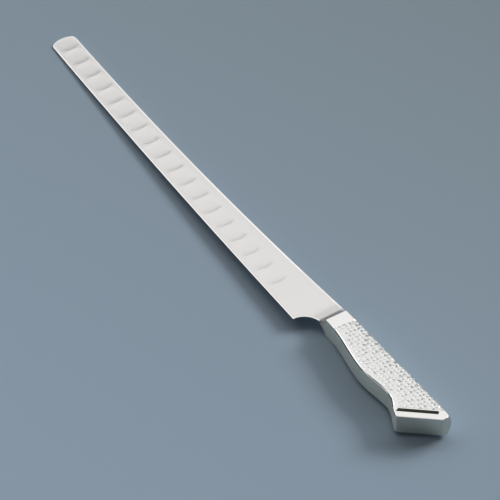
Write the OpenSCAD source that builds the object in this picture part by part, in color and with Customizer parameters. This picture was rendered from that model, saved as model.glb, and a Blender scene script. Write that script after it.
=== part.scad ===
// Salmon slicer: a long dimpled blade welded into a hollow pressed steel handle.
// The knife is drawn flat in its own frame: x runs from the tip to the butt with 0 at the heel corner,
// y runs up to the handle's spine line at 0, and z = 0 is the middle plane. laid_down() puts it at rest.

/* [Blade] */
// Length from the heel corner to the end of the tip
blade_l = 310; // [250:5:330]
// Blade width at the heel corner
heel_w = 30.4; // [26:0.1:36]
// Blade width at the tip
tip_w = 17.4; // [14:0.2:24]
// How far the cutting edge bows out past a straight line from heel to tip
edge_bow = 1.5; // [0:0.1:3]
// How far the spine dips below a straight line from handle to tip
spine_dip = 3.8; // [0:0.1:5]
// Spine thickness at the heel
spine_t = 2; // [1.4:0.1:2.6]
// Thickness just above the cutting bevel
edge_t = 0.36; // [0.24:0.02:0.6]
// Height of the cutting bevel
bevel_h = 1; // [0.6:0.1:1.3]
// Radius of the gently bowed tip end
tip_bow_r = 14; // [12:1:30]
// Radius of the two tip corners
tip_corner_r = 3.8; // [2:0.2:5]
// Length of the hidden tang behind the choil
tang_l = 32; // [20:1:50]
// Step by which the tang is thinner on each face, where the handle shells begin
tang_step = 0.15; // [0.05:0.05:0.25]

/* [Dimples] */
// Distance between neighbouring dimples
dimple_pitch = 15.55; // [12:0.05:18]
// Diameter of one dimple at the blade's face
dimple_d = 15.3; // [10:0.1:15.4]
// Depth of a dimple
dimple_depth = 0.25; // [0.1:0.01:0.3]
// Width of the curved wall round a dimple's flat floor
dimple_wall = 1.7; // [0.8:0.1:3]
// Height of the row of dimples above the cutting edge at the heel
dimple_rise = 10.8; // [9.6:0.1:12]
// Height of the row of dimples above the cutting edge at the tip
dimple_rise_tip = 9; // [8.9:0.1:9.4]
// Plain blade between the heel corner and the first dimple
plain_heel = 32.1; // [16:0.1:60]

/* [Handle] */
// Length from the bolster's front edge to the butt
handle_l = 111; // [100:1:130]
// Thickness over the polished facets
handle_t = 14; // [12:0.2:17]
// Distance from the heel corner to the bolster's front edge
bolster_x = 17.6; // [16:0.1:22]
// Length of the polished bolster facet
facet_l = 9.6; // [6:0.2:14]
// Handle depth at the bolster
bolster_w = 18.3; // [16:0.1:20]
// Handle depth at the swell
swell_w = 24.6; // [21:0.1:28]
// Distance from the bolster's front edge to the swell
swell_at = 50.4; // [36:0.2:60]
// Handle depth at the waist behind the swell
waist_w = 23.1; // [20:0.1:25]
// Distance from the bolster's front edge to the waist
waist_at = 71.6; // [64:0.2:80]
// Handle depth at the beak
beak_w = 30.3; // [27:0.1:34]
// Distance from the bolster's front edge to the full depth of the beak
beak_at = 94.4; // [88:0.2:100]
// Length of the curve that leads into the beak
beak_l = 20.9; // [14:0.1:24]
// How far the rounded spine side stands out past the flat sides
crown = 2.8; // [2:0.1:4.5]
// Radius of the hollow ramp in front of the bolster facet
ramp_r = 9; // [7.5:0.5:14]
// Sheet thickness of the pressed shells
wall = 1.2; // [0.8:0.1:1.8]

/* [Butt] */
// Angle between the slanted end and the handle's length
end_slant = 50; // [42:1:60]
// Width of the square end left at the spine side
square_w = 8; // [5:0.2:11]
// Width of the polished band along the slanted end
band_w = 7.7; // [7.3:0.1:10]
// Length of the groove in the band
groove_l = 25; // [18:0.2:27]
// Width of the groove
groove_w = 2.7; // [1:0.1:3]
// Depth of the groove
groove_deep = 2; // [1:0.1:3]
// Distance of the groove's centre line from the slanted end
groove_in = 5.6; // [4:0.1:5.8]
// Length over which the spine side rounds in towards the butt
butt_round_l = 3.5; // [1:0.1:4]
// Radius of that rounding
butt_round_r = 4.2; // [4:0.1:8]

/* [Grip relief] */
// How far the hammered face lies below the polished facets
relief_recess = 0.4; // [0.3:0.05:0.6]
// Height of a bump above the hammered face
relief_h = 0.34; // [0.1:0.02:0.36]
// Average distance between two bumps
relief_pitch = 3.3; // [2.8:0.1:4.5]

/* [Hidden] */
$fn = 96;
function mix(a, b, t) = a + (b - a) * t;

// Blade: flat faces that open as a wedge from a line touching the bowed edge, which runs from heel to tip
edge_a = atan((heel_w - tip_w) / blade_l);
base_w = heel_w + edge_bow;
grind = (spine_t - edge_t) / 2 / (base_w * cos(edge_a));
honed_t = 0.08;
bevel_slope = (edge_t - honed_t) / 2 / bevel_h + grind;
choil_r = heel_w - bolster_w;
tang_inset = 3;
arc_n = 24;
function above_edge(x, y) = (y + base_w) * cos(edge_a) + x * sin(edge_a);
function blade_half(x, y) = edge_t / 2 + grind * above_edge(x, y);
function edge_y(x) =
    let (s = -x / blade_l) mix(-heel_w, -tip_w, s) - 4 * edge_bow * s * (1 - s);

// Dimples on the left face run from the heel to the tip; the right face's row is half a pitch further
dimple_n = floor((blade_l - plain_heel) / dimple_pitch + 0.3);
dimple_curve_r = (pow(dimple_wall, 2) + pow(dimple_depth, 2)) / (2 * dimple_depth);
function dimple_y(x) = edge_y(x) + mix(dimple_rise, dimple_rise_tip, -x / blade_l);

// Handle outline in plan
half_t = handle_t / 2;
butt_x = bolster_x + handle_l;
grip_x = bolster_x + facet_l;
swell_lead = 2;
function ease(t) = let (c = min(1, max(0, t))) c * c * (3 - 2 * c);
function depth(x) =
    let (d = x - bolster_x)
    bolster_w
    + (swell_w - bolster_w) * ease((d - swell_lead) / (swell_at - swell_lead))
    - (swell_w - waist_w) * ease((d - swell_at) / (waist_at - swell_at))
    + (beak_w - waist_w) * ease((d - beak_at + beak_l) / beak_l);

// A slanted line meets the spine line at x = spine_x; this finds where it meets the belly
function belly_x(spine_x, n = 16) =
    n == 0 ? spine_x - waist_w / tan(end_slant) : spine_x - depth(belly_x(spine_x, n - 1)) / tan(end_slant);
end_spine_x = butt_x + square_w / tan(end_slant);
function slanted(inset) = end_spine_x - inset / sin(end_slant);

// Ramp in front of the bolster facet: an arc that starts just above the blade's face
lip = 0.12;
ramp_rise = half_t - blade_half(bolster_x, 0) - lip;
ramp_l = sqrt(pow(ramp_r, 2) - pow(ramp_r - ramp_rise, 2));
ramp_x = bolster_x - ramp_l;
function ramp_share(x) = (ramp_r - sqrt(pow(ramp_r, 2) - pow(x - ramp_x, 2))) / ramp_rise;
function ramped(x, y, z) =
    let (foot = blade_half(x, y) + lip) z < foot ? z : mix(foot, z, ramp_share(x));
function spine_y(x) =
    let (s = (x + blade_l) / (ramp_x + blade_l)) -4 * spine_dip * s * (1 - s);

// Section of half the handle, from the belly seam over the flat face and its shoulder to the spine seam
crown_r = (pow(half_t, 2) + pow(crown, 2)) / (2 * crown);
facet_fillet = 0.8;
facet_shoulder = 0.5;
grip_fillet = 1.6;
grip_shoulder = 2.6;
fillet_n = 3;
face_n = 12;
shoulder_n = 2;
round_n = 5;
function face_points(b, fillet, shoulder) =
    let (
        c = sqrt(pow(crown_r - shoulder, 2) - pow(half_t - shoulder, 2)),
        turn = atan2(half_t - shoulder, c))
    concat(
        [[-b, 0, 0, 0]],
        [for (i = [0:fillet_n]) let (a = 90 * i / fillet_n)
            [-b + fillet * (1 - cos(a)), half_t - fillet + fillet * sin(a), a, i / fillet_n]],
        [for (i = [1:face_n]) [mix(-b + fillet, c - crown_r, i / face_n), half_t, 90, 1]],
        [for (i = [1:shoulder_n]) let (a = mix(90, turn, i / shoulder_n))
            [c - crown_r + shoulder * cos(a), half_t - shoulder + shoulder * sin(a), 180 - a, 1]],
        [for (i = [1:round_n]) let (a = turn * (1 - i / round_n))
            [crown_r * cos(a) - crown_r, crown_r * sin(a), 180 - a, 1]]);

// Hammered relief: domes round the points of a lattice that are each shifted by a fixed scatter
scatter = 0.3;
function spread(i, j, k) = let (s = 437.585 * sin(127.1 * i + 311.7 * j + 74.7 * k)) s - floor(s) - 0.5;
function bumps(u, v) =
    let (i0 = floor(u), j0 = floor(v),
        near = min([for (i = [i0 - 1:i0 + 2]) for (j = [j0 - 1:j0 + 2])
            norm([u - i - 2 * scatter * spread(i, j, 0), v - j - 2 * scatter * spread(i, j, 1)])]))
    relief_h * max(0, 1 - 2.2 * near * near);

// The spine side rounds in towards the butt, and the face behind it follows less and less
fade_w = 9;
function butt_drop(x) =
    let (run = min(max(0, x - butt_x + butt_round_l), butt_round_l + 0.2))
    butt_round_r - sqrt(pow(butt_round_r, 2) - run * run);
function rounded_in(x, y) = y - butt_drop(x) * ease((y + fade_w) / (fade_w - crown));

// One station: [belly x, spine x, depth, half thickness, belly fillet, shoulder, relief share]
function straight(x) = [x, x, depth(x), half_t, facet_fillet, facet_shoulder, 0];
function section(s, on_ramp = false) =
    [for (p = face_points(s[2], s[4], s[5]))
        let (
            x = mix(s[1], s[0], -p[0] / s[2]),
            lift = p[3] * s[6] * (bumps(x / relief_pitch, (p[0] - p[1]) / relief_pitch) - relief_recess),
            y = p[0] - lift * cos(p[2]),
            z = p[1] * s[3] / half_t + lift * sin(p[2]))
        [x, rounded_in(x, y), on_ramp ? ramped(x, y, z) : z]];

// Stations from the ramp to the slanted end
ramp_n = 8;
grip_n = 64;
square_n = 3;
end_corner_r = 0.5;
end_chamfer = 0.3;
band_spine_x = slanted(band_w);
band_belly_x = belly_x(band_spine_x);
step_l = 0.15;
function grip_station(t) =
    let (bx = mix(grip_x + step_l, band_belly_x - step_l, t), sx = mix(grip_x + step_l, band_spine_x - step_l, t))
    [bx, sx, depth(bx), half_t, grip_fillet, grip_shoulder, 1];
function band_station(inset) =
    let (
        sx = slanted(inset),
        bx = belly_x(sx),
        off = max(0, end_corner_r - inset),
        trim = end_corner_r - sqrt(pow(end_corner_r, 2) - pow(off, 2)))
    [
        bx + trim / tan(end_slant), sx, depth(bx) - trim, half_t - max(0, end_chamfer - inset),
        facet_fillet, facet_shoulder, 0];
ramp_sections = [for (i = [0:ramp_n]) section(straight(ramp_x + ramp_l * sin(90 * i / ramp_n)), true)];
facet_sections = [section(straight(grip_x))];
grip_sections = [for (i = [0:grip_n]) section(grip_station(i / grip_n))];
square_inset = square_w * cos(end_slant) - 0.2;
band_insets = concat(
    [for (i = [0:square_n]) mix(band_w, square_inset, i / square_n)],
    [2, end_corner_r, end_chamfer, 0]);
band_sections = [for (inset = band_insets) section(band_station(inset))];

// The hollow inside a shell, one wall inside its outline
front_solid = 5;
hollow_x = bolster_x + front_solid;
hollow_end = slanted(2 * wall);
hollow_n = 16;
hollow_half = half_t - wall - relief_recess;
hollow_r = crown_r - wall - relief_recess;
hollow_turn = asin(hollow_half / hollow_r);
function hollow_section(t) =
    let (
        bx = mix(hollow_x, belly_x(hollow_end), t),
        sx = mix(hollow_x, hollow_end, t),
        b = depth(bx))
    [for (p = concat(
            [[wall - b, -1], [wall - b, hollow_half - wall], [2 * wall - b, hollow_half]],
            [for (i = [0:round_n]) let (a = hollow_turn * (1 - i / round_n))
                [hollow_r * cos(a) - crown_r, hollow_r * sin(a)]],
            [[hollow_r - crown_r, -1]]))
        [mix(sx, bx, -p[0] / b), p[0], p[1]]];

// Resting place: the tip's spine corner and the bolster facet's front edge touch the table
touch_x = -blade_l + tip_corner_r;
rest_tilt = atan((half_t - blade_half(touch_x, 0)) / (bolster_x - touch_x));
rest_lift = half_t * cos(rest_tilt) - bolster_x * sin(rest_tilt);
middle_x = ((butt_x - blade_l) * cos(rest_tilt) + half_t * sin(rest_tilt)) / 2;
middle_y = -max(heel_w, max([for (inset = [0:0.2:band_w]) band_station(inset)[2]])) / 2;

// Sets the knife down on the plane z = 0, centred over the origin
module laid_down() {
    translate([-middle_x, -middle_y, rest_lift])
        rotate([0, -rest_tilt, 0])
            children();
}

// Closed solid through a list of sections with equal numbers of points
module loft(rings) {
    m = len(rings[0]);
    last = len(rings) - 1;
    skin = [for (k = [0:last - 1]) for (j = [0:m - 1]) let (j2 = (j + 1) % m)
        [k * m + j, k * m + j2, (k + 1) * m + j2, (k + 1) * m + j]];
    front = [[for (j = [m - 1:-1:0]) j]];
    back = [[for (j = [0:m - 1]) last * m + j]];
    polyhedron(points = [for (ring = rings) each ring], faces = concat(skin, front, back), convexity = 6);
}

// Removes the point of a tip corner outside a circle that touches the bowed end and one side
module tip_corner_cut(start, along, inward) {
    bow_c = [-blade_l + tip_bow_r, -tip_w / 2];
    q = start + inward * tip_corner_r - bow_c;
    reach = -(q * along) - sqrt(pow(q * along, 2) - q * q + pow(tip_bow_r - tip_corner_r, 2));
    c = start + along * reach + inward * tip_corner_r;
    out = (c - bow_c) / norm(c - bow_c);
    far = tip_bow_r + 3;
    difference() {
        polygon([c, c - inward * far, bow_c + out * far * 2 - inward * far, bow_c + out * far]);
        translate(c) circle(tip_corner_r);
    }
}

// Blade outline: dipped spine, bowed tapering edge, bowed tip, round choil and tang
module blade_plan() {
    tang_end = choil_r + tang_l;
    spine_a = atan(4 * spine_dip / (blade_l + ramp_x));
    tip_edge_a = edge_a + atan(4 * edge_bow / blade_l);
    difference() {
        polygon(concat(
            [for (i = [0:arc_n]) let (x = mix(-blade_l, ramp_x, i / arc_n)) [x, spine_y(x)]],
            [[choil_r, 0], [choil_r, -tang_inset], [tang_end, -tang_inset],
                [tang_end, tang_inset - bolster_w], [choil_r, tang_inset - bolster_w], [choil_r, -heel_w]],
            [for (i = [0:arc_n]) let (x = -blade_l * i / arc_n) [x, edge_y(x)]]));
        translate([choil_r, -heel_w]) circle(choil_r);
        difference() {
            translate([-blade_l - 1, -1.5 * tip_w]) square([tip_bow_r + 1, 2 * tip_w]);
            translate([-blade_l + tip_bow_r, -tip_w / 2]) circle(tip_bow_r);
        }
        tip_corner_cut([-blade_l, 0], [cos(spine_a), -sin(spine_a)], [-sin(spine_a), -cos(spine_a)]);
        tip_corner_cut([-blade_l, -tip_w], [cos(tip_edge_a), -sin(tip_edge_a)], [sin(tip_edge_a), cos(tip_edge_a)]);
    }
}

// Wedge between the blade's two flat faces, each moved in by a given amount
module wedge(inset) {
    over = 1.5 * base_w;
    low = edge_t / 2 - grind * bevel_h - inset;
    high = edge_t / 2 + grind * over - inset;
    translate([0, -base_w, 0])
        rotate([0, 0, -edge_a])
            rotate([90, 0, -90])
                translate([0, 0, -2 * tang_l])
                    linear_extrude(blade_l + 4 * tang_l)
                        polygon([[bevel_h, -low], [-over, -high], [-over, high], [bevel_h, low]]);
}

// Takes off the cutting bevel on the left face along the bowed edge
module bevel_cut() {
    below = 1;
    above = 3 * bevel_h;
    loft([for (i = [-1:arc_n + 1])
        let (x = -blade_l * i / arc_n, y = edge_y(x))
        [
            [x, y - below, honed_t / 2 - below * bevel_slope],
            [x, y + above, honed_t / 2 + above * bevel_slope],
            [x, y - below, spine_t]]]);
}

// Ground plate: the outline cut to a wedge, with its bevels and the thinner tang
module blade_stock() {
    difference() {
        intersection() {
            translate([0, 0, -spine_t]) linear_extrude(2 * spine_t) blade_plan();
            wedge(0);
        }
        bevel_cut();
        mirror([0, 0, 1]) bevel_cut();
        difference() {
            translate([ramp_x, -heel_w, -spine_t]) cube([2 * tang_l, 2 * heel_w, 2 * spine_t]);
            wedge(tang_step);
        }
    }
}

// One dimple cutter: flat floor with a curved wall, its mouth at z = 0
module dimple_cutter() {
    floor_r = dimple_d / 2 - dimple_wall;
    rotate_extrude()
        intersection() {
            translate([0, -dimple_depth]) square([dimple_d, 2 * dimple_depth]);
            union() {
                translate([0, -dimple_depth]) square([floor_r, 2 * dimple_depth]);
                translate([floor_r, dimple_curve_r - dimple_depth]) circle(dimple_curve_r);
            }
        }
}

// Row of dimples on the left face; the side is mirrored for the right face
module dimple_row(shift) {
    for (i = [0:dimple_n - 1]) {
        x = -plain_heel - dimple_d / 2 - i * dimple_pitch - shift;
        translate([x, dimple_y(x), blade_half(x, dimple_y(x))])
            rotate([0, 0, -edge_a])
                rotate([atan(grind), 0, 0])
                    dimple_cutter();
    }
}

module blade() {
    color("gainsboro")
        laid_down()
            difference() {
                blade_stock();
                dimple_row(0);
                mirror([0, 0, 1]) dimple_row(-dimple_pitch / 2);
            }
}

// Groove in the polished band, centred between belly and shoulder and grown by a given amount
module groove(grow) {
    mid_y = -(crown + depth(belly_x(slanted(groove_in)))) / 2;
    mid_x = slanted(groove_in) + mid_y / tan(end_slant);
    translate([mid_x, mid_y, half_t - groove_deep - grow])
        rotate([0, 0, end_slant])
            translate([-groove_l / 2 - grow, -groove_w / 2 - grow, 0])
                cube([groove_l + 2 * grow, groove_w + 2 * grow, groove_deep + 2 * grow + 1]);
}

// Left pressed shell: front ramp, bolster facet, hammered grip, grooved band and slanted end
module handle_shell() {
    difference() {
        loft(concat(ramp_sections, facet_sections, grip_sections, band_sections));
        difference() {
            loft([for (i = [0:hollow_n]) hollow_section(i / hollow_n)]);
            groove(wall);
            translate([butt_x - 2 * wall, -beak_w, -2]) cube([3 * beak_w, 2 * beak_w, 2 * handle_t]);
        }
        blade_stock();
        groove(0);
        translate([butt_x, -beak_w, -1]) cube([beak_w, 2 * beak_w, handle_t]);
    }
}

module handle_shell_left() {
    color("silver") laid_down() handle_shell();
}

module handle_shell_right() {
    color("darkgray") laid_down() mirror([0, 0, 1]) handle_shell();
}

blade();
handle_shell_left();
handle_shell_right();
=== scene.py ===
"""Salmon slicer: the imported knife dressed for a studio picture.

The knife is drawn in millimetres in its own flat frame, as its source does: x runs from tip to
butt with 0 at the heel corner, y runs up to the spine line at 0, z = 0 is the middle plane. Laying
it down turns it by the small tilt at which the tip and the bolster touch the table, and gives
metres.
"""
import math

import bmesh
import bpy
import numpy as np
from mathutils import Matrix, Vector


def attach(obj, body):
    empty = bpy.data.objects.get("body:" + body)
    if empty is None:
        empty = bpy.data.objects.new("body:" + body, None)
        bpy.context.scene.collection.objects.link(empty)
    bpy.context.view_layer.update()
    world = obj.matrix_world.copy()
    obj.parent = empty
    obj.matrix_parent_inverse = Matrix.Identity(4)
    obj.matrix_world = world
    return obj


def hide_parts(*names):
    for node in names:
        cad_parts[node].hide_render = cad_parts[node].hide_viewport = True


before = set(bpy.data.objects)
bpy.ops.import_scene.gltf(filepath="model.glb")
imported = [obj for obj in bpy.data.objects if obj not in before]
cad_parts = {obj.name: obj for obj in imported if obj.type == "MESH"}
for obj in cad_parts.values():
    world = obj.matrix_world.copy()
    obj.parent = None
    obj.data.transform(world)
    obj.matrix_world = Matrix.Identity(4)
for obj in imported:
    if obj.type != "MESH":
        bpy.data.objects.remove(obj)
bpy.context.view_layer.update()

# Rest on the table: the knife lies on its right side and touches with the tip and with the front
# edge of the bolster facet, so its plane leans by just over a degree from the tip up to the handle.
blade_length = 310.0
heel_width = 30.4
tip_width = 17.4
edge_bow = 1.5
spine_thick = 2.0
edge_thick = 0.36
tip_corner_radius = 3.8
handle_thick = 14.0
bolster_front = 17.6
butt = 128.6
edge_angle = math.atan((heel_width - tip_width) / blade_length)
base_width = heel_width + edge_bow
grind = (spine_thick - edge_thick) / 2 / (base_width * math.cos(edge_angle))


def half_thickness(x, y):
    """Half the plate's thickness: it grows with the distance from a line that the edge touches."""
    above = (y + base_width) * np.cos(edge_angle) + x * np.sin(edge_angle)
    return edge_thick / 2 + grind * above


touch_x = -blade_length + tip_corner_radius
touch_height = handle_thick / 2 - float(half_thickness(touch_x, 0.0))
lean = math.atan(touch_height / (bolster_front - touch_x))
rise = handle_thick / 2 * math.cos(lean) - bolster_front * math.sin(lean)
middle_x = ((butt - blade_length) * math.cos(lean) + handle_thick / 2 * math.sin(lean)) / 2
middle_y = -heel_width / 2


def laid_down(points):
    """Knife points in mm to the table's frame in metres: a turn by lean about y, then a shift."""
    x, y, z = points[..., 0], points[..., 1], points[..., 2]
    turned = np.stack([
        x * math.cos(lean) - z * math.sin(lean) - middle_x,
        y - middle_y,
        x * math.sin(lean) + z * math.cos(lean) + rise], axis=-1)
    return turned / 1000


# Camera: a long lens about 2.6 m away and 43 degrees above the knife's own plane, over the belly
# side and towards the butt, as the photograph was taken. Its square frame holds the knife from
# corner to corner.
view_heading = math.radians(56.41)
view_height = math.radians(43.0)
view_distance = 2600.0
aim = np.array([-67.487, -17.976, 0.0])
back = np.array([
    math.cos(view_height) * math.sin(view_heading),
    -math.cos(view_height) * math.cos(view_heading),
    math.sin(view_height)])
right = np.array([math.cos(view_heading), math.sin(view_heading), 0.0])
up = np.cross(back, right)
camera_data = bpy.data.cameras.new("camera")
camera_data.sensor_width = 36.0
camera_data.lens = 295.6
camera_data.clip_end = 20.0
camera = bpy.data.objects.new("camera", camera_data)
bpy.context.scene.collection.objects.link(camera)
bpy.context.scene.camera = camera
origin = laid_down(np.zeros(3))
axes = [laid_down(v) - origin for v in (right, up, back)]
columns = [Vector(a).normalized() for a in axes]
place = Matrix((columns[0], columns[1], columns[2])).transposed().to_4x4()
place.translation = Vector(laid_down(aim + view_distance * back))
camera.matrix_world = place


# Studio: blue-grey paper whose colour darkens a little towards the back, painted shade for the
# lamps' light falling off, under a dim dome with a paler horizon. The flats mirror two broad soft
# boxes behind the knife, a low lamp throws the shadow to the left, and pale cards all round are
# there for the steel to mirror and don't light the paper.
def new_material(name):
    """An empty node material with its output; returns (material, nodes, links)."""
    material = bpy.data.materials.new(name)
    material.use_nodes = True
    material.node_tree.nodes.clear()
    return material, material.node_tree.nodes, material.node_tree.links


# The paper's colour fades from its near tone to a darker far tone towards the back: painted shade
# that stands in for the lamps' light falling off.
paper_near = (0.52, 0.67, 0.83, 1.0)
paper_far_painted_shade = (0.31, 0.385, 0.43, 1.0)
painted_shade_heading = math.radians(112.7)
painted_shade_fade = (-0.25, 0.35)
table_size = 4.0
table_mesh = bpy.data.meshes.new("table")
table_mesh.from_pydata(
    [(-table_size, -table_size, 0), (table_size, -table_size, 0),
     (table_size, table_size, 0), (-table_size, table_size, 0)], [], [(0, 1, 2, 3)])
table = bpy.data.objects.new("table", table_mesh)
bpy.context.scene.collection.objects.link(table)
table_material, nodes, links = new_material("table_paper")
output = nodes.new("ShaderNodeOutputMaterial")
paper = nodes.new("ShaderNodeBsdfPrincipled")
place_on_table = nodes.new("ShaderNodeTexCoord")
towards_back = nodes.new("ShaderNodeVectorMath")
towards_back.operation = "DOT_PRODUCT"
towards_back.inputs[1].default_value = (math.cos(painted_shade_heading), math.sin(painted_shade_heading), 0)
fade = nodes.new("ShaderNodeMapRange")
fade.inputs["From Min"].default_value, fade.inputs["From Max"].default_value = painted_shade_fade
shade = nodes.new("ShaderNodeValToRGB")
shade.color_ramp.elements[0].color = paper_near
shade.color_ramp.elements[1].color = paper_far_painted_shade
links.new(place_on_table.outputs["Object"], towards_back.inputs[0])
links.new(towards_back.outputs["Value"], fade.inputs["Value"])
links.new(fade.outputs["Result"], shade.inputs["Fac"])
links.new(shade.outputs["Color"], paper.inputs["Base Color"])
paper.inputs["Roughness"].default_value = 0.9
paper.inputs["Specular IOR Level"].default_value = 0.2
links.new(paper.outputs["BSDF"], output.inputs["Surface"])
table_mesh.materials.append(table_material)

dome_tones = (
    (0.0, (0.36, 0.41, 0.45)), (0.08, (0.3, 0.34, 0.38)), (0.26, (0.04, 0.04, 0.04)),
    (0.55, (0.05, 0.05, 0.05)), (0.85, (0.06, 0.06, 0.06)))
left_heading = math.radians(236)
left_lift = 0.35
world = bpy.data.worlds.new("studio")
bpy.context.scene.world = world
world.use_nodes = True
nodes, links = world.node_tree.nodes, world.node_tree.links
nodes.clear()
output = nodes.new("ShaderNodeOutputWorld")
dome = nodes.new("ShaderNodeBackground")
direction = nodes.new("ShaderNodeTexCoord")
split = nodes.new("ShaderNodeSeparateXYZ")
tones = nodes.new("ShaderNodeValToRGB")
stops = tones.color_ramp.elements
stops[1].position = dome_tones[-1][0]
for position, _ in dome_tones[1:-1]:
    stops.new(position)
for stop, (_, tone) in zip(stops, dome_tones):
    stop.color = (*tone, 1)
left_share = nodes.new("ShaderNodeVectorMath")
left_share.operation = "DOT_PRODUCT"
left_share.inputs[1].default_value = (
    left_lift * math.cos(left_heading), left_lift * math.sin(left_heading), 0)
left_only = nodes.new("ShaderNodeMath")
left_only.operation = "MAXIMUM"
left_only.inputs[1].default_value = 0.0
level = nodes.new("ShaderNodeMath")
level.operation = "ADD"
links.new(direction.outputs["Generated"], split.inputs["Vector"])
links.new(direction.outputs["Generated"], left_share.inputs[0])
links.new(left_share.outputs["Value"], left_only.inputs[0])
links.new(left_only.outputs["Value"], level.inputs[0])
links.new(split.outputs["Z"], level.inputs[1])
links.new(level.outputs["Value"], tones.inputs["Fac"])
links.new(tones.outputs["Color"], dome.inputs["Color"])
links.new(dome.outputs["Background"], output.inputs["Surface"])


def soft_lamp(name, bearing, height, distance, size, power):
    """A rectangular area lamp that faces the knife from a bearing, counted from +X, and a height.

    Both are in degrees, distance and size in metres, power in watts.
    """
    data = bpy.data.lights.new(name, "AREA")
    data.shape = "RECTANGLE"
    data.size, data.size_y = size
    data.energy = power
    lamp = bpy.data.objects.new(name, data)
    bpy.context.scene.collection.objects.link(lamp)
    b, h = math.radians(bearing), math.radians(height)
    out = Vector((math.cos(h) * math.cos(b), math.cos(h) * math.sin(b), math.sin(h)))
    turn = out.to_track_quat("Z", "Y").to_matrix().to_4x4()
    lamp.matrix_world = Matrix.Translation(out * distance) @ turn
    return lamp


away = math.degrees(math.atan2(-back[1], -back[0]))
soft_lamp("high_softbox", away - 6, 51, 4, (6.25, 2.0), 40.5)
soft_lamp("low_softbox", away - 24, 28.5, 4, (4.3, 1.3), 18.5)
soft_lamp("left_card", away + 62, 45, 2.4, (1.1, 0.55), 3.3)
soft_lamp("low_key", away - 56, 28, 3.6, (1.5, 1.1), 58)
for mirror_card in (
        soft_lamp("front_card", away + 180, 45, 4, (3.4, 1.3), 11),
        soft_lamp("front_low_card", away + 175, 16, 4, (5.0, 1.2), 13),
        soft_lamp("near_left_card", away + 118, 22, 4, (4.4, 1.6), 14),
        soft_lamp("right_card", away - 106, 18, 4, (6.0, 1.6), 19),
        soft_lamp("beak_card", away + 38, 32, 2.4, (0.8, 0.6), 2.4),
        soft_lamp("top_card", away, 89, 3, (1.5, 1.5), 5)):
    mirror_card.visible_diffuse = False


# Blade: one ground steel plate with a dipped spine, a bowed edge that tapers towards the bowed tip,
# a round choil and a row of shallow dimples on each face, the right face's half a pitch further
# along. The rims and the cutting bevel are honed smoother, and a lighter colour on them is a
# painted
# highlight: the bright lines along the spine and the edge.
spine_dip = 3.8
choil_radius = 12.1
tip_bow_radius = 14.0
bevel_height = 1.0
honed_thick = 0.08
dimple_pitch = 15.55
dimple_count = 18
dimple_diameter = 15.3
dimple_depth = 0.27
dimple_depth_tip = 0.17
dimple_half_length = 7.45
dimple_end_radius = 14.0
dimple_reach = 7.2
dimple_rise = 10.8
dimple_rise_tip = 9.0
plain_heel = 32.1
ramp_front = 9.165
honed_highlight_width = 0.7
tip_stretch = 14.0
tip_rows = 40
body_rows = 690
choil_rows = 30
face_columns = 58
near_edge = np.array([0, 0.6, 1.0, 1.3])
narrow_tip = 4.0
merge_distance = 2e-7
sharp_angle = math.radians(32)


def edge_line(x):
    """Cutting edge: straight from heel to tip, less a parabola that is edge_bow deep half way."""
    s = -x / blade_length
    return -heel_width + (heel_width - tip_width) * s - 4 * edge_bow * s * (1 - s)


def spine_line(x):
    """Spine: a parabola from the tip to the handle that dips by spine_dip half way."""
    s = np.minimum((x + blade_length) / (ramp_front + blade_length), 1)
    return -4 * spine_dip * s * (1 - s)


def corner_centre(start, along, inward):
    """Centre of the tip corner circle that touches one side and, from inside, the bowed end."""
    bow = np.array([-blade_length + tip_bow_radius, -tip_width / 2])
    q = start + inward * tip_corner_radius - bow
    apart = tip_bow_radius - tip_corner_radius
    reach = -(q @ along) - math.sqrt((q @ along) ** 2 - q @ q + apart ** 2)
    return start + along * reach + inward * tip_corner_radius, bow


def blade_sides(x):
    """Lower and upper y of the blade's outline at x: edge, choil, spine, tip corners and bow."""
    low_slope = edge_angle + math.atan(4 * edge_bow / blade_length)
    high_slope = math.atan(4 * spine_dip / (blade_length + ramp_front))
    low_c, bow = corner_centre(
        np.array([-blade_length, -tip_width]),
        np.array([math.cos(low_slope), -math.sin(low_slope)]),
        np.array([math.sin(low_slope), math.cos(low_slope)]))
    high_c, bow = corner_centre(
        np.array([-blade_length, 0.0]),
        np.array([math.cos(high_slope), -math.sin(high_slope)]),
        np.array([-math.sin(high_slope), -math.cos(high_slope)]))
    bow_reach = np.sqrt(np.maximum(tip_bow_radius ** 2 - (x - bow[0]) ** 2, 0))

    def corner(c, sign):
        out = (c - bow) / np.linalg.norm(c - bow)
        meet = c[0] + tip_corner_radius * out[0]
        arc = c[1] + sign * np.sqrt(np.maximum(tip_corner_radius ** 2 - (x - c[0]) ** 2, 0))
        return np.where(x < meet, bow[1] + sign * bow_reach, arc)

    low_touch = low_c[0] - tip_corner_radius * math.sin(low_slope)
    high_touch = high_c[0] + tip_corner_radius * math.sin(high_slope)
    low = np.where(x < low_touch, corner(low_c, -1.0), edge_line(x))
    high = np.where(x < high_touch, corner(high_c, 1.0), spine_line(x))
    choil = -heel_width + np.sqrt(np.maximum(choil_radius ** 2 - (x - choil_radius) ** 2, 0))
    return np.where(x > 0, choil, low), high


def dimple_hollow(x, y, shift):
    """Depth of the dimples at a point: 1 less a cube along, times 1 less a sixth power across.

    Seen flat each is a barrel: its ends are arcs of dimple_end_radius, its sides dimple_reach away.
    """
    centre_x = -plain_heel - dimple_diameter / 2 - shift
    index = np.clip(np.round((centre_x - x) / dimple_pitch), 0, dimple_count - 1)
    cx = centre_x - index * dimple_pitch
    cy = edge_line(cx) + dimple_rise + (dimple_rise_tip - dimple_rise) * -cx / blade_length
    half_length = dimple_half_length - (y - cy) ** 2 / (2 * dimple_end_radius)
    along = np.maximum(1 - np.abs((x - cx) / half_length) ** 3, 0)
    deepest = dimple_depth + (dimple_depth_tip - dimple_depth) * -cx / blade_length
    return deepest * along * np.maximum(1 - ((y - cy) / dimple_reach) ** 6, 0)


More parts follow.
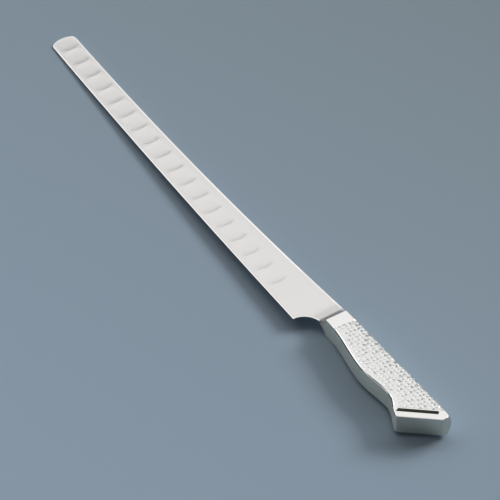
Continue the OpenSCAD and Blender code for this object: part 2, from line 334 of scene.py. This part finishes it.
def blade_face(x, y, shift):
    """Half thickness with the cutting bevel and the dimples taken off."""
    slope = (edge_thick - honed_thick) / 2 / bevel_height + grind
    bevel = honed_thick / 2 + slope * np.maximum(y - edge_line(x), 0)
    return np.minimum(half_thickness(x, y), bevel) - dimple_hollow(x, y, shift)


def grid_mesh(name, points, finish, tube):
    """Closed mesh of a grid of points, each face with the material that finish gives.

    A tube joins its last column to its first, and a flat rim that is left open is filled.
    """
    rows, cols = points.shape[:2]
    index = np.arange(rows * cols).reshape(rows, cols)
    if tube:
        index = np.concatenate([index, index[:, :1]], axis=1)
    quads = np.stack([index[:-1, :-1], index[1:, :-1], index[1:, 1:], index[:-1, 1:]], axis=-1)
    quads = np.ascontiguousarray(quads.reshape(-1, 4), dtype=np.int32)
    mesh = bpy.data.meshes.new(name)
    mesh.vertices.add(rows * cols)
    mesh.vertices.foreach_set("co", np.ascontiguousarray(points, dtype=np.float32).ravel())
    mesh.loops.add(quads.size)
    mesh.loops.foreach_set("vertex_index", quads.ravel())
    mesh.polygons.add(len(quads))
    mesh.polygons.foreach_set("loop_start", np.arange(0, quads.size, 4, dtype=np.int32))
    mesh.polygons.foreach_set("material_index", finish.astype(np.int32).ravel())
    mesh.update(calc_edges=True)
    mesh.validate()
    tidy = bmesh.new()
    tidy.from_mesh(mesh)
    bmesh.ops.remove_doubles(tidy, verts=tidy.verts, dist=merge_distance)
    filled = bmesh.ops.holes_fill(tidy, edges=tidy.edges, sides=0)
    bmesh.ops.triangulate(tidy, faces=filled["faces"])
    bmesh.ops.recalc_face_normals(tidy, faces=tidy.faces)
    tidy.to_mesh(mesh)
    tidy.free()
    mesh.polygons.foreach_set("use_smooth", np.ones(len(mesh.polygons), dtype=bool))
    mesh.set_sharp_from_angle(angle=sharp_angle)
    return mesh


def eased(n):
    """n + 1 values from 0 to 1 that crowd towards 0 as a quarter cosine does."""
    return 1 - np.cos(np.linspace(0, math.pi / 2, n + 1))


tip_part = -blade_length + tip_stretch * eased(tip_rows)
body_part = np.linspace(-blade_length + tip_stretch, 0, body_rows)[1:]
choil_part = choil_radius * eased(choil_rows)[1:]
station_x = np.concatenate([tip_part, body_part, choil_part])
low, high = blade_sides(station_x)
width = high - low
share = np.minimum(1, width / narrow_tip)[:, None]
first = near_edge[None, :] * share
rest = np.linspace(0, 1, face_columns)[None, 1:]
rows_v = np.concatenate([first, first[:, -1:] + (width[:, None] - first[:, -1:]) * rest], axis=1)
grid_x = np.repeat(station_x[:, None], rows_v.shape[1], axis=1)
grid_y = low[:, None] + rows_v
left_face = np.stack([grid_x, grid_y, blade_face(grid_x, grid_y, 0.0)], axis=-1)
right_face = np.stack([grid_x, grid_y, -blade_face(grid_x, grid_y, -dimple_pitch / 2)], axis=-1)
ring = np.concatenate([left_face, right_face[:, ::-1]], axis=1)
from_rim = np.minimum(rows_v, width[:, None] - rows_v)
middle_of_face = (from_rim[:-1, :-1] + from_rim[1:, 1:]) / 2
# Faces next to the rims take the honed steel; its lighter colour paints the highlight lines along
# the spine and the edge.
honed_highlight_rims = np.where(middle_of_face < honed_highlight_width, 1, 0)
rim = np.ones_like(honed_highlight_rims[:, :1])
honed_highlight_rims = np.concatenate([honed_highlight_rims, rim, honed_highlight_rims[:, ::-1], rim], axis=1)
blade_mesh = grid_mesh("blade_plate", laid_down(ring), honed_highlight_rims, tube=True)
blade_plate = bpy.data.objects.new("blade_plate", blade_mesh)
bpy.context.scene.collection.objects.link(blade_plate)


def steel(name, colour, roughness, grain_scale, grain_depth, uneven):
    """Bare steel: a metal shader whose roughness and fine bump follow noise on Object coordinates.

    grain_scale draws the noise out along the way the steel is ground, and grain_depth is in metres.
    """
    material, nodes, links = new_material(name)
    output = nodes.new("ShaderNodeOutputMaterial")
    metal = nodes.new("ShaderNodeBsdfPrincipled")
    metal.inputs["Base Color"].default_value = (*colour, 1)
    metal.inputs["Metallic"].default_value = 1.0
    coordinates = nodes.new("ShaderNodeTexCoord")
    stretch = nodes.new("ShaderNodeMapping")
    stretch.inputs["Scale"].default_value = grain_scale
    grain = nodes.new("ShaderNodeTexNoise")
    grain.inputs["Scale"].default_value = 1.0
    grain.inputs["Detail"].default_value = 4.0
    spread = nodes.new("ShaderNodeMapRange")
    spread.inputs["To Min"].default_value = roughness - uneven
    spread.inputs["To Max"].default_value = roughness + uneven
    bump = nodes.new("ShaderNodeBump")
    bump.inputs["Strength"].default_value = 1.0
    bump.inputs["Distance"].default_value = grain_depth
    links.new(coordinates.outputs["Object"], stretch.inputs["Vector"])
    links.new(stretch.outputs["Vector"], grain.inputs["Vector"])
    links.new(grain.outputs["Fac"], spread.inputs["Value"])
    links.new(spread.outputs["Result"], metal.inputs["Roughness"])
    links.new(grain.outputs["Fac"], bump.inputs["Height"])
    links.new(bump.outputs["Normal"], metal.inputs["Normal"])
    links.new(metal.outputs["BSDF"], output.inputs["Surface"])
    return material


blend_start = 2.0
blend_length = 11.4
blend_height = 0.7


def add_ramp_blend(material):
    """Shades the hand-ground blend before the bolster: a smooth rise by blend_height."""
    nodes, links = material.node_tree.nodes, material.node_tree.links
    split = nodes.new("ShaderNodeSeparateXYZ")
    rising = nodes.new("ShaderNodeMapRange")
    rising.interpolation_type = "SMOOTHSTEP"
    rising.inputs["From Min"].default_value = (blend_start - middle_x) / 1000
    rising.inputs["From Max"].default_value = (blend_start + blend_length - middle_x) / 1000
    rising.inputs["To Max"].default_value = blend_height / 1000
    slope = nodes.new("ShaderNodeBump")
    slope.inputs["Strength"].default_value = 1.0
    slope.inputs["Distance"].default_value = 1.0
    links.new(nodes["Texture Coordinate"].outputs["Object"], split.inputs["Vector"])
    links.new(split.outputs["X"], rising.inputs["Value"])
    links.new(rising.outputs["Result"], slope.inputs["Height"])
    links.new(slope.outputs["Normal"], nodes["Bump"].inputs["Normal"])


across_blade = (2600, 90, 400)
blade_steel = steel("blade_steel", (0.725, 0.71, 0.695), 0.25, across_blade, 1.2e-6, 0.04)
add_ramp_blend(blade_steel)
# Lighter than the blade steel: a painted highlight on the rims, with the honing itself in the lower
# roughness.
honed_highlight_steel = steel("honed_highlight_steel", (0.93, 0.93, 0.92), 0.2, across_blade, 1e-6, 0.03)
blade_mesh.materials.append(blade_steel)
blade_mesh.materials.append(honed_highlight_steel)
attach(blade_plate, "root")
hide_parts("blade")


# Handle shells: two pressed steel halves, welded along the middle plane and ground flush. Each runs
# from the hollow ramp over the polished bolster facet and the hammered grip to the grooved band and
# the end.
facet_length = 9.6
bolster_depth = 18.3
swell_depth = 24.6
swell_start = 2.0
swell_at = 50.4
waist_depth = 23.1
waist_at = 71.6
beak_depth = 30.3
beak_at = 94.4
beak_length = 20.9
crown = 2.8
ramp_radius = 9.0
end_slant = math.radians(50)
square_width = 8.0
band_width = 7.7
groove_spine_end = 11.0
groove_belly_end = 14.0
groove_end_lean = 0.44
groove_width = 2.7
groove_deep = 2.0
groove_inset = 5.6
groove_edge = 0.03
butt_round_length = 3.5
butt_round_radius = 4.2
butt_round_fade = 9.0
butt_draft = 0.36
belly_tries = 24
relief_recess = 0.36
relief_height = 0.3
relief_pitch = 2.9
relief_scatter = 0.45
relief_roundness = 1.9
relief_run_in = 2.0
relief_by_belly = 0.95
relief_by_spine = 1.35
half_thick = handle_thick / 2
facet_back = bolster_front + facet_length
crown_radius = (half_thick ** 2 + crown ** 2) / (2 * crown)


def ease(t):
    """Smooth step from 0 to 1: 3 t squared less 2 t cubed."""
    c = np.clip(t, 0, 1)
    return c * c * (3 - 2 * c)


def handle_depth(x):
    """Depth of the handle below the spine: bolster, swell, waist and beak, by smooth steps."""
    d = x - bolster_front
    return (
        bolster_depth
        + (swell_depth - bolster_depth) * ease((d - swell_start) / (swell_at - swell_start))
        - (swell_depth - waist_depth) * ease((d - swell_at) / (waist_at - swell_at))
        + (beak_depth - waist_depth) * ease((d - beak_at + beak_length) / beak_length))


def slanted(inset):
    """Where the line parallel to the slanted end, inset from it, meets the spine line."""
    return butt + square_width / math.tan(end_slant) - inset / math.sin(end_slant)


def belly_end(spine_x):
    """Where a slanted line through spine_x meets the belly, by repeating spine_x - depth / tan."""
    x = spine_x - waist_depth / math.tan(end_slant)
    for _ in range(belly_tries):
        x = spine_x - handle_depth(x) / math.tan(end_slant)
    return x


def bump_field(u, v):
    """Hammered relief from 0 to 1: a round dome over the nearest point of a scattered lattice.

    The fraction of a large multiple of a sine gives each cell of the lattice its own fixed scatter.
    """
    cell_u, cell_v = np.floor(u), np.floor(v)
    nearest = np.full(np.shape(u), 9.0)
    for du in (-1, 0, 1):
        for dv in (-1, 0, 1):
            cu, cv = cell_u + du, cell_v + dv
            a = np.sin(cu * 127.1 + cv * 311.7) * 43758.5453
            b = np.sin(cu * 269.5 + cv * 183.3) * 43758.5453
            pu = cu + 0.5 + relief_scatter * (a - np.floor(a) - 0.5)
            pv = cv + 0.5 + relief_scatter * (b - np.floor(b) - 0.5)
            nearest = np.minimum(nearest, np.hypot(u - pu, v - pv))
    return np.maximum(1 - relief_roundness * nearest ** 2, 0)


# Columns of the half section, from the belly's seam over the flat face to the seam of the spine.
parts = ["wall", "fillet", "face", "shoulder", "arc"]
counts = [6, 6, 84, 8, 40]
kinds = np.concatenate([[part] * count for part, count in zip(parts, counts)] + [["arc"]])
shares = np.concatenate([np.arange(count) / count for count in counts] + [[1.0]])


def section_points(depth, fillet, shoulder, half):
    """y, z, outward angle, relief weight and strength of the half section at each station.

    The shoulder is a circle that touches the flat face and, from inside, the spine side's wide arc.
    """
    depth, fillet, shoulder, half = (
        np.asarray(a, dtype=float)[:, None] for a in (depth, fillet, shoulder, half))
    t = shares[None, :] + 0 * depth
    which = [kinds == part for part in parts]
    centre = np.sqrt((crown_radius - shoulder) ** 2 - (half_thick - shoulder) ** 2)
    end_turn = np.arctan2(half_thick - shoulder, centre)
    quarter = t * math.pi / 2
    rounding = math.pi / 2 + (end_turn - math.pi / 2) * t
    sweep = end_turn * (1 - t)
    y = np.select(which, [
        -depth + 0 * t, -depth + fillet * (1 - np.cos(quarter)),
        -depth + fillet + (depth - fillet + centre - crown_radius) * t,
        centre - crown_radius + shoulder * np.cos(rounding),
        crown_radius * np.cos(sweep) - crown_radius])
    z = np.select(which, [
        (half_thick - fillet) * t, half_thick - fillet + fillet * np.sin(quarter),
        half_thick + 0 * t, half_thick - shoulder + shoulder * np.sin(rounding),
        crown_radius * np.sin(sweep)])
    angle = np.select(which, [
        0 * t, quarter, math.pi / 2 + 0 * t, math.pi - rounding, math.pi - sweep])
    run_in = ease((y + depth - fillet) / relief_run_in)
    weight = np.select(which, [0 * t, 0 * t, run_in, 1 + 0 * t, 1 + 0 * t])
    growing = relief_by_belly + (relief_by_spine - relief_by_belly) * t ** 2
    strength = np.where(kinds == "face", growing, relief_by_spine)
    return y, z * half / half_thick, angle, weight, strength


facet_fillet = 0.8
facet_shoulder = 0.5
grip_fillet = 1.6
grip_shoulder = 2.6
end_corner = 0.5
end_chamfer = 0.3
lip = 0.12
ramp_rise = half_thick - float(half_thickness(bolster_front, 0.0)) - lip
band_spine = slanted(band_width)
band_belly = float(belly_end(band_spine))
ramp_rows = 33
facet_rows = 12
grip_rows = 430
band_rows = 32
end_rows = 8
relief_rim = 0.0045
last_flat_row = 0.6
beyond_butt = 400.0

ramp_x = ramp_front + (bolster_front - ramp_front) * np.sin(np.linspace(0, math.pi / 2, ramp_rows))
facet_x = np.linspace(bolster_front, facet_back, facet_rows)[1:]
front_x = np.concatenate([ramp_x, facet_x])
rim_t = np.linspace(0, relief_rim, 4)
grip_t = np.concatenate([rim_t, np.linspace(0, 1, grip_rows)[3:-2], 1 - rim_t[::-1]])
grip_belly = facet_back + (band_belly - facet_back) * grip_t
grip_spine = facet_back + (band_spine - facet_back) * grip_t
half_groove = groove_width / 2
groove_sides = groove_inset + np.array([
    half_groove + groove_edge, half_groove - groove_edge,
    groove_edge - half_groove, -groove_edge - half_groove])
band_inset = np.concatenate([
    np.linspace(band_width, last_flat_row, band_rows)[1:], groove_sides,
    end_corner * eased(end_rows), [end_chamfer]])
band_inset = np.unique(np.round(band_inset, 4))[::-1]
band_trim = end_corner - np.sqrt(end_corner ** 2 - np.maximum(0, end_corner - band_inset) ** 2)
band_spine_x = slanted(band_inset)
band_belly_x = np.array([belly_end(s) for s in band_spine_x])

belly_x = np.concatenate([front_x, grip_belly, band_belly_x + band_trim / math.tan(end_slant)])
spine_x = np.concatenate([front_x, grip_spine, band_spine_x])
depth = np.concatenate([
    handle_depth(front_x), handle_depth(grip_belly), handle_depth(band_belly_x) - band_trim])
edge_ramp = np.minimum(1, np.minimum(grip_t, 1 - grip_t) / relief_rim)
relief_share = np.concatenate([0 * front_x, edge_ramp, 0 * band_inset])
fillet = facet_fillet + (grip_fillet - facet_fillet) * relief_share
shoulder = facet_shoulder + (grip_shoulder - facet_shoulder) * relief_share
half = np.concatenate([
    0 * front_x + half_thick, 0 * grip_t + half_thick,
    half_thick - np.maximum(0, end_chamfer - band_inset)])
butt_limit = np.concatenate([
    0 * front_x + beyond_butt, 0 * grip_t + beyond_butt, butt - butt_draft * band_inset])


def shell_surface():
    """Outer surface of the left shell as a grid of knife points, one row for each station."""
    y, z, angle, weight, strength = section_points(depth, fillet, shoulder, half)
    x = spine_x[:, None] + (belly_x - spine_x)[:, None] * -y / depth[:, None]
    along_v = np.where(angle > math.pi / 2, crown_radius * (angle - math.pi / 2), y + crown)
    bumps = strength * relief_height * bump_field(x / relief_pitch, along_v / relief_pitch)
    height = relief_share[:, None] * weight * (bumps - relief_recess)
    y = y - height * np.cos(angle)
    z = z + height * np.sin(angle)
    x = np.minimum(x, butt_limit[:, None])
    run = np.clip(x - butt + butt_round_length, 0, butt_round_length)
    drop = butt_round_radius - np.sqrt(butt_round_radius ** 2 - run ** 2)
    y = y - drop * ease((y + butt_round_fade) / (butt_round_fade - crown))
    climb = np.clip(x - ramp_front, 0, bolster_front - ramp_front)
    arc_share = (ramp_radius - np.sqrt(ramp_radius ** 2 - climb ** 2)) / ramp_rise
    foot = half_thickness(x, y) + lip
    z = np.where((x < bolster_front) & (z > foot), foot + (z - foot) * arc_share, z)
    middle_v = -(crown + float(handle_depth(belly_end(slanted(groove_inset))))) / 2
    middle_u = slanted(groove_inset) + middle_v / math.tan(end_slant)
    across = (x - middle_u) * math.sin(end_slant) - (y - middle_v) * math.cos(end_slant)
    along = (x - middle_u) * math.cos(end_slant) + (y - middle_v) * math.sin(end_slant)
    in_groove = (
        (np.abs(across) < half_groove) & (along < groove_spine_end)
        & (along > -groove_belly_end - groove_end_lean * across) & (z > half_thick - groove_deep))
    z = np.where(in_groove, half_thick - groove_deep, z)
    return np.stack([x, y, z], axis=-1), in_groove


closing_rows = counts[0]


def down_to_seam(station):
    """Rows that carry a station straight down to the seam, each level with a point of its wall."""
    level = station[:closing_rows, 2:]
    rows = np.repeat(station[None], closing_rows, axis=0)
    z = rows[..., 2]
    lowered = z * level / station[closing_rows, 2]
    rows[..., 2] = np.where(kinds == "wall", np.minimum(z, level), lowered)
    return rows


polished, brushed_painted_light, hammered, grooved, cut_end_painted_shade, ground_ramp = range(6)


def face_finish(in_groove):
    """Finish of each face, from the rows and columns that its part of the shell takes up."""
    rows, cols = in_groove.shape
    hammered_rows = slice(len(front_x) + 2, len(front_x) + len(grip_t) - 3)
    finish = np.full((rows - 1, cols), polished)
    finish[:len(ramp_x) - 1] = ground_ramp
    finish[hammered_rows, :-1] = hammered
    finish[:, kinds == "fillet"] = polished
    # The side walls take the brushed side steel, whose lighter colour is painted light.
    finish[:, kinds == "wall"] = brushed_painted_light
    lowered = in_groove[:-1] | in_groove[1:]
    # Faces in and beside the groove take the dark groove colour: painted shade.
    finish[lowered | np.roll(lowered, -1, axis=1)] = grooved
    # The end and the closing faces take the end steel, whose darker, yellower colour is painted
    # shade.
    closing = np.full((closing_rows, cols), cut_end_painted_shade)
    return np.concatenate([closing, finish, closing])[:, :-1]


outside, lowered_points = shell_surface()
closed_shell = np.concatenate([down_to_seam(outside[0]), outside, down_to_seam(outside[-1])[::-1]])
finish = face_finish(lowered_points)
handle_steel = steel("handle_steel", (0.77, 0.765, 0.75), 0.1, (500, 500, 500), 1e-6, 0.03)
# The side walls' near-white colour, lighter than the shell's other steel, is painted light that
# lifts them out of the shade they mirror; the brushing is real in the roughness.
side_steel_painted_light = steel("brushed_side_painted_light", (0.98, 0.97, 0.88), 0.52, (1500, 1500, 120), 6e-6, 0.1)
hammered_steel = steel("hammered_steel", (0.74, 0.74, 0.73), 0.22, (900, 900, 900), 8e-6, 0.06)
# The groove's dark grey is painted shade, standing in for the shade inside a deep slot.
groove_painted_shade = steel("groove_painted_shade", (0.32, 0.34, 0.3), 0.6, (900, 900, 900), 4e-6, 0.1)
# The end's colour, darker and yellower than the shell's other steel, is painted shade for the dim
# reflection it shows; the brushing is real in the roughness.
end_steel_painted_shade = steel("brushed_end_painted_shade", (0.72, 0.72, 0.64), 0.38, (1500, 1500, 120), 6e-6, 0.1)
ramp_steel = steel("ramp_steel", (0.72, 0.705, 0.69), 0.3, (400, 90, 2600), 1.2e-6, 0.04)
add_ramp_blend(ramp_steel)
for side, flip in (("left", 1.0), ("right", -1.0)):
    surface = closed_shell * np.array([1, 1, flip])
    mesh = grid_mesh(f"handle_half_{side}", laid_down(surface), finish, tube=False)
    for material in (handle_steel, side_steel_painted_light, hammered_steel, groove_painted_shade, end_steel_painted_shade, ramp_steel):
        mesh.materials.append(material)
    handle_half = bpy.data.objects.new(f"handle_half_{side}", mesh)
    bpy.context.scene.collection.objects.link(handle_half)
    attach(handle_half, "root")
    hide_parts(f"handle_shell_{side}")


bpy.context.scene.view_settings.view_transform = "Standard"
